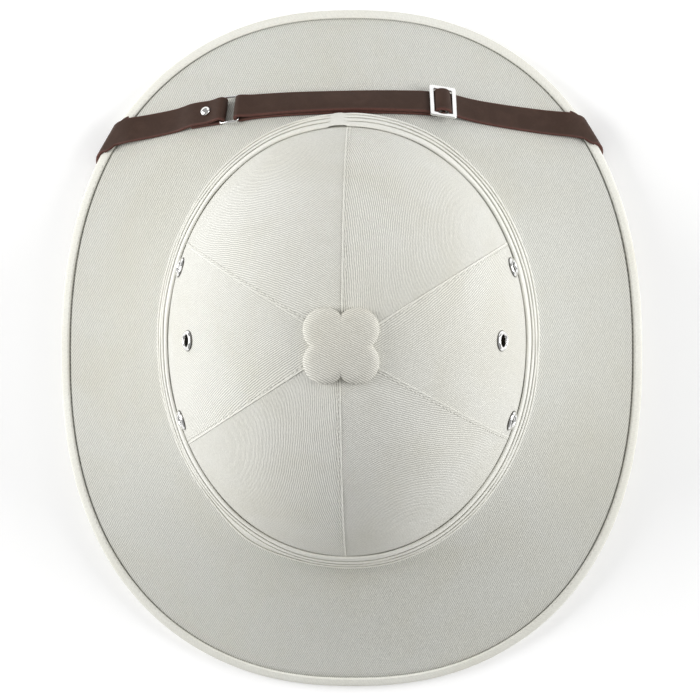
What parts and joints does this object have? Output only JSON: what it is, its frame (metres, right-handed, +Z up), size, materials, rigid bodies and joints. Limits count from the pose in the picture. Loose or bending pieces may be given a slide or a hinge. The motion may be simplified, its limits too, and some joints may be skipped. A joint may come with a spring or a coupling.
{
  "type": "pith helmet",
  "caption": "White cloth-covered sun helmet with a wide sloping brim, a panelled crown, a lobed vent cap, a pleated band, metal eyelets and a buckled leather chin strap over the front.",
  "frame": {"origin": "middle of the helmet's bounding box, on the plane that the brim's edge rests on", "axes": "+Z up through the vent cap, -Y the way the wearer faces, -X the wearer's right"},
  "size_m": [0.3012, 0.3531, 0.1642],
  "materials": {
    "pith": "pale pressed pith, matte and slightly grained",
    "cloth": "white cotton twill, matte",
    "leather": "dark brown leather, matte grain with burnished edges",
    "nickel": "bright nickel plate, lightly worn"
  },
  "bodies": {
    "root": {"pith_shell": "pith", "crown_panel_front_right": "cloth", "crown_panel_right": "cloth", "crown_panel_rear_right": "cloth", "crown_panel_rear_left": "cloth", "crown_panel_left": "cloth", "crown_panel_front_left": "cloth", "brim_cover": "cloth", "edge_binding": "cloth", "pleated_band": "cloth", "vent_cap": "cloth", "eyelet_right_front": "nickel", "eyelet_right_middle": "nickel", "eyelet_right_rear": "nickel", "eyelet_left_rear": "nickel", "eyelet_left_middle": "nickel", "eyelet_left_front": "nickel", "strap_left": "leather", "strap_right": "leather", "strap_rivet": "nickel", "strap_ring": "nickel", "strap_slider": "nickel", "strap_stud_left": "nickel", "strap_stud_right": "nickel"}
  },
  "joints": []
}
